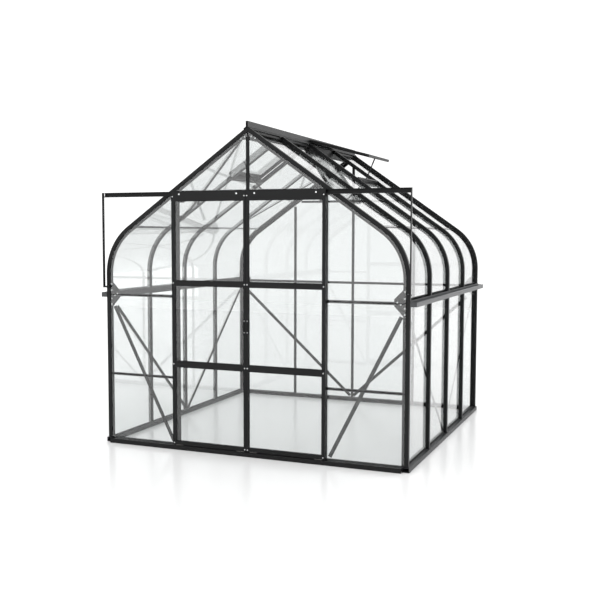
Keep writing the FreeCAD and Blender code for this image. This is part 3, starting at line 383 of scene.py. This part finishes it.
def add_screw(shape, place, out, radius, height):
    """Pan head standing on a face, with a socket sunk in its top."""
    edge_share, wall_share, socket_share = 0.4, 0.35, 0.6
    out = Vector(out)
    verts = add_rod(shape, place, Vector(place) + out * height, radius)
    top = max({face for vert in verts for face in vert.link_faces if len(face.verts) > 4},
              key=lambda face: face.calc_center_median().dot(out))
    bmesh.ops.bevel(shape, geom=list(top.edges), offset=height * edge_share, segments=2, profile=0.5,
                    affect="EDGES")
    shape.faces.ensure_lookup_table()
    caps = [face for face in shape.faces
            if len(face.verts) > 4 and face.normal.dot(out) > 0.99
            and (face.calc_center_median() - Vector(place) - out * height).length < 1e-4]
    for cap in caps:
        bmesh.ops.inset_individual(shape, faces=[cap], thickness=radius * wall_share)
        bmesh.ops.translate(shape, vec=-out * height * socket_share, verts=cap.verts)


# ---- operators -----------------------------------------------------------------
class GLASSHOUSE_OT_finishes(bpy.types.Operator):
    """Give every CAD node of the house its finish"""
    bl_idname = "glasshouse.finishes"
    bl_label = "Finishes"

    def execute(self, context):
        made = finishes(context.scene.glasshouse)
        for name, node in frame["nodes"].items():
            node.data.materials.clear()
            node.data.materials.append(made[finish_of(name)])
            for face in node.data.polygons:
                face.material_index = 0
        return {"FINISHED"}


class GLASSHOUSE_OT_seals(bpy.types.Operator):
    """Run a black seal round the outside of every pane, where it meets its bar"""
    bl_idname = "glasshouse.seals"
    bl_label = "Glazing seals"

    def execute(self, context):
        settings = context.scene.glasshouse
        for node in sorted(frame["nodes"]):
            if node.endswith(GLAZED):
                shape = self.ring(node, settings)
                add_piece(node + "_seal", shape, "rubber", body_of(node))
        return {"FINISHED"}

    def ring(self, node, settings):
        width = settings.seal_width
        if node.startswith(("front", "rear")):
            width = settings.gable_seal
        elif "door" in node:
            width = settings.door_seal
        shape = welded(node)
        bmesh.ops.dissolve_limit(shape, angle_limit=FLAT_WITHIN, verts=shape.verts,
                                 edges=shape.edges)
        outer = [face for face in shape.faces
                 if face.calc_area() > LEAST_PANE_FACE and self.faces_out(face)]
        if not outer:
            raise RuntimeError("no outer face on " + node)
        ring = bmesh.ops.inset_region(shape, faces=outer, use_even_offset=True,
                                      thickness=width)
        keep = set(ring["faces"])
        bmesh.ops.delete(shape, geom=[face for face in shape.faces if face not in keep],
                         context="FACES")
        bmesh.ops.solidify(shape, geom=shape.faces[:], thickness=-settings.seal_height)
        return shape

    def faces_out(self, face):
        """Whether a face looks away from the inside of the house."""
        normal, centre = face.normal, face.calc_center_median()
        if abs(normal.y) > FACES_GABLE:
            return normal.y * centre.y > 0.0
        eaves_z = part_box("gutters")[0].z
        return normal.dot(Vector((centre.x, 0.0, max(0.0, centre.z - eaves_z)))) > 0.0


class GLASSHOUSE_OT_screws(bpy.types.Operator):
    """Set the screws of the doors and corner posts and the bolt heads behind the gable glass"""
    bl_idname = "glasshouse.screws"
    bl_label = "Screws and bolt heads"

    def execute(self, context):
        settings = context.scene.glasshouse
        for name in SIDES:
            self.door_screws(name, settings)
        self.gable_bolts(settings)
        self.splice_screws(settings)
        return {"FINISHED"}

    def door_screws(self, name, settings):
        shape = bmesh.new()
        rails = boxes_of(name + "_door_rails")
        for stile_low, stile_high in boxes_of(name + "_door_stiles"):
            x = (stile_low.x + stile_high.x) / 2
            for low, high in rails:
                over = low.x < x < high.x
                y = min(stile_low.y, low.y) if over else stile_low.y
                z = min((low.z + high.z) / 2, stile_high.z)
                add_screw(shape, (x, y, z), (0, -1, 0), settings.screw_radius,
                          settings.screw_height)
        add_piece(name + "_door_screws", shape, "zinc", name + "_door")

    def gable_bolts(self, settings):
        """Heads on the glass side of every bolt through a gable bar or plate."""
        for end, gable in ((-1.0, "front"), (1.0, "rear")):
            low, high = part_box(gable + "_panes")
            back = high.y if end < 0 else low.y
            shape = bmesh.new()
            for bolt_low, bolt_high in boxes_of("frame_bolts"):
                middle = (bolt_low + bolt_high) / 2
                size = bolt_high - bolt_low
                on_gable = middle.y * end >= abs(back) - GABLE_BOLT_REACH
                if not on_gable or abs(size.x - size.z) > ROUND_WITHIN:
                    continue
                start = back - end * settings.bolt_gap
                add_rod(shape, (middle.x, start, middle.z),
                        (middle.x, start - end * settings.bolt_head, middle.z),
                        settings.bolt_radius, 16)
                outer = bolt_low.y if end < 0 else bolt_high.y
                if abs(outer) < abs(start):
                    add_rod(shape, (middle.x, start, middle.z),
                            (middle.x, outer - end * settings.bolt_bite, middle.z),
                            settings.bolt_radius / 2)
            if not shape.verts:
                raise RuntimeError("no bolts on the " + gable + " gable")
            add_piece(gable + "_bolt_heads", shape, "zinc", body_of("frame_bolts"))

    def splice_screws(self, settings):
        """A screw below the splice on both outer faces of each corner post."""
        low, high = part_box("corner_posts")
        shape = bmesh.new()
        step = settings.splice_inset
        for x, out in ((low.x, -1), (high.x, 1)):
            for y in (low.y + step, high.y - step):
                add_screw(shape, (x, y, high.z - step), (out, 0, 0), settings.screw_radius,
                          settings.screw_height)
        for y, out in ((low.y, -1), (high.y, 1)):
            for x in (low.x + step, high.x - step):
                add_screw(shape, (x, y, high.z - step), (0, out, 0), settings.screw_radius,
                          settings.screw_height)
        add_piece("splice_screws", shape, "zinc", body_of("corner_posts"))


class GLASSHOUSE_OT_door_dress(bpy.types.Operator):
    """Round the door handles over and fit the brush strips of both doors"""
    bl_idname = "glasshouse.door_dress"
    bl_label = "Door handles and brushes"

    def execute(self, context):
        settings = context.scene.glasshouse
        for name, side in SIDES.items():
            self.handle(name, settings)
            self.brushes(name, side, settings)
        return {"FINISHED"}

    def handle(self, name, settings):
        """Rounded back plate with a bowed pull and two screws."""
        node = name + "_door_handle"
        low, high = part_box(node)
        plate, bar = settings.plate_thick, settings.pull_radius
        bends, round_share = 16, 0.45
        middle = (low.x + high.x) / 2
        shape = bmesh.new()
        add_block(shape, (low.x, high.y - plate, low.z), high, plate * round_share)
        half = (high.z - low.z) / 2 - settings.pull_inset
        centre_z = (low.z + high.z) / 2
        reach = high.y - low.y - bar - plate
        last = None
        for step in range(bends + 1):
            angle = math.pi * step / bends
            point = Vector((middle, high.y - plate - reach * math.sin(angle) ** 0.5,
                            centre_z - half * math.cos(angle)))
            if last is not None:
                add_rod(shape, last, point, bar, 14)
            last = point
            bmesh.ops.create_uvsphere(shape, u_segments=14, v_segments=8, radius=bar,
                                      matrix=Matrix.Translation(point))
        piece = add_piece(name + "_pull", shape, "handle_plastic", name + "_door")
        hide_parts(node)
        screws = bmesh.new()
        for z in (low.z + settings.pull_screw_inset, high.z - settings.pull_screw_inset):
            add_screw(screws, (middle, high.y - plate, z), (0, -1, 0),
                      settings.screw_radius * 0.7, settings.screw_height * 0.6)
        add_piece(name + "_pull_screws", screws, "zinc", name + "_door")

    def brushes(self, name, side, settings):
        """Strip from the outer stile back to the post, and a fin where the doors meet."""
        low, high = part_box(name + "_door_stiles")
        gable_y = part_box("door_posts")[0].y
        outer = high.x if side > 0 else low.x
        inner = low.x if side > 0 else high.x
        gap, fin = settings.brush_gap, settings.fin_inset
        start = outer - side * settings.brush_inset
        shape = bmesh.new()
        add_block(shape, (start, high.y, low.z),
                  (start - side * settings.brush_depth, gable_y - gap, high.z))
        add_block(shape, (inner, low.y + fin, low.z),
                  (inner - side * (abs(inner) - gap), high.y - fin, high.z))
        add_piece(name + "_door_brush", shape, "rubber", name + "_door")


class GLASSHOUSE_OT_trim(bpy.types.Operator):
    """Roll the gutter lips, join the ridge cover and set a stop disc for each stay"""
    bl_idname = "glasshouse.trim"
    bl_label = "Gutter lips, ridge joint and stay stops"

    def execute(self, context):
        settings = context.scene.glasshouse
        self.gutter_lips(settings)
        self.ridge_joint(settings)
        for name in SIDES:
            self.stay_stop(name, settings)
        return {"FINISHED"}

    def gutter_lips(self, settings):
        low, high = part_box("gutters")
        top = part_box("gutter_ends")[1].z
        shape = bmesh.new()
        for x in (low.x, high.x):
            add_rod(shape, (x, low.y, top), (x, high.y, top), settings.lip_radius, 16)
        # the lip takes the gutter coat made lighter, a painted highlight on the bead
        add_piece("gutter_lips", shape, "lip_painted_highlight", body_of("gutters"),
                  smooth=True)

    def ridge_joint(self, settings):
        """Thin sleeve over the joint at the middle of the ridge cover."""
        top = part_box("ridge_cappings")[1].z
        half, side = settings.sleeve_half, settings.sleeve_side
        shape = bmesh.new()
        add_block(shape, (-side, -half, top - settings.sleeve_drop),
                  (side, half, top + settings.sleeve_proud))
        add_piece("ridge_joint", shape, "frame_coat", body_of("ridge_cappings"))

    def stay_stop(self, name, settings):
        """Small disc at the middle of a stay's box across X, above its lowest point."""
        low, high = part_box(name + "_vent_stay")
        middle = (low + high) / 2
        half_stay, thick = (high.y - low.y) / 2, settings.stop_thick
        face = Vector((middle.x, middle.y - half_stay, low.z + settings.stop_rise))
        shape = bmesh.new()
        add_rod(shape, face - Vector((0, thick, 0)), face, settings.stop_radius, 16)
        add_piece(name + "_stay_stop", shape, "handle_plastic", name + "_stay")


class GLASSHOUSE_OT_stage(bpy.types.Operator):
    """Set the floor, the light cards, the white surroundings and the camera"""
    bl_idname = "glasshouse.stage"
    bl_label = "Stage"

    def execute(self, context):
        studio = context.scene.glasshouse_studio
        self.floor(studio)
        self.cards(studio)
        self.camera(context.scene, studio)
        world = bpy.data.worlds.new("white_studio")
        world.use_nodes = True
        background = world.node_tree.nodes["Background"]
        background.inputs["Color"].default_value = (1.0, 1.0, 1.0, 1.0)
        background.inputs["Strength"].default_value = studio.sky
        context.scene.world = world
        context.scene.view_settings.view_transform = "Standard"
        return {"FINISHED"}

    def floor(self, studio):
        shape = bmesh.new()
        bmesh.ops.create_grid(shape, x_segments=2, y_segments=2, size=studio.floor_half)
        floor = bpy.data.objects.new("floor", mesh_of("floor", shape))
        bpy.context.scene.collection.objects.link(floor)
        floor.data.materials.append(floor_paper("floor_paper", studio.floor_tone))
        floor.location.z = -studio.floor_drop

    def cards(self, studio):
        """One card behind the camera and one beyond the right wall, both upright."""
        tall, front_wide, side_wide = 9.0, 26.0, 14.0
        front_place = (0.0, -12.9, tall / 2)
        side_place = (11.0, 9.0, tall / 2)
        upright, side_turn = math.radians(90), math.radians(-50)
        front = self.card("front_card", front_wide, tall, studio.front_card)
        front.matrix_world = (Matrix.Translation(front_place)
                              @ Matrix.Rotation(-upright, 4, "X"))
        side = self.card("side_card", side_wide, tall, studio.side_card)
        side.matrix_world = (Matrix.Translation(side_place)
                             @ Matrix.Rotation(side_turn, 4, "Z")
                             @ Matrix.Rotation(upright, 4, "X"))

    def card(self, name, width, height, brightness):
        shape = bmesh.new()
        bmesh.ops.create_grid(shape, x_segments=1, y_segments=1, size=0.5)
        bmesh.ops.scale(shape, vec=(width, height, 1.0), verts=shape.verts)
        card = bpy.data.objects.new(name, mesh_of(name, shape))
        bpy.context.scene.collection.objects.link(card)
        material, nodes, links = blank_material(name)
        emission = nodes.new("ShaderNodeEmission")
        output = nodes.new("ShaderNodeOutputMaterial")
        emission.inputs["Strength"].default_value = brightness
        links.new(emission.outputs["Emission"], output.inputs["Surface"])
        card.data.materials.append(material)
        return card

    def camera(self, scene, studio):
        data = bpy.data.cameras.new("camera")
        data.sensor_width = 36.0
        data.lens = studio.lens
        camera = bpy.data.objects.new("camera", data)
        scene.collection.objects.link(camera)
        camera.matrix_world = (Matrix.Translation(studio.camera_place)
                               @ Matrix.Rotation(studio.camera_yaw, 4, "Z")
                               @ Matrix.Rotation(math.radians(90) + studio.camera_pitch, 4, "X")
                               @ Matrix.Rotation(studio.camera_roll, 4, "Z"))
        scene.camera = camera


class GLASSHOUSE_PT_panel(bpy.types.Panel):
    """Sidebar list of the house's settings and steps"""
    bl_idname = "GLASSHOUSE_PT_panel"
    bl_label = "Glasshouse"
    bl_space_type = "VIEW_3D"
    bl_region_type = "UI"
    bl_category = "Glasshouse"

    def draw(self, context):
        column = self.layout.column()
        for group in (context.scene.glasshouse, context.scene.glasshouse_studio):
            for name in group.__annotations__:
                column.prop(group, name)
        for step in STEPS:
            column.operator(step.bl_idname)


STEPS = (GLASSHOUSE_OT_finishes, GLASSHOUSE_OT_seals, GLASSHOUSE_OT_screws,
         GLASSHOUSE_OT_door_dress, GLASSHOUSE_OT_trim, GLASSHOUSE_OT_stage)
CLASSES = (GlasshouseFinish, GlasshouseStudio, *STEPS, GLASSHOUSE_PT_panel)


def register():
    for item in CLASSES:
        bpy.utils.register_class(item)
    bpy.types.Scene.glasshouse = PointerProperty(type=GlasshouseFinish)
    bpy.types.Scene.glasshouse_studio = PointerProperty(type=GlasshouseStudio)


def unregister():
    del bpy.types.Scene.glasshouse_studio
    del bpy.types.Scene.glasshouse
    for item in reversed(CLASSES):
        bpy.utils.unregister_class(item)


def main():
    register()
    for step in STEPS:
        group, name = step.bl_idname.split(".")
        getattr(getattr(bpy.ops, group), name)()


if __name__ == "__main__":
    main()
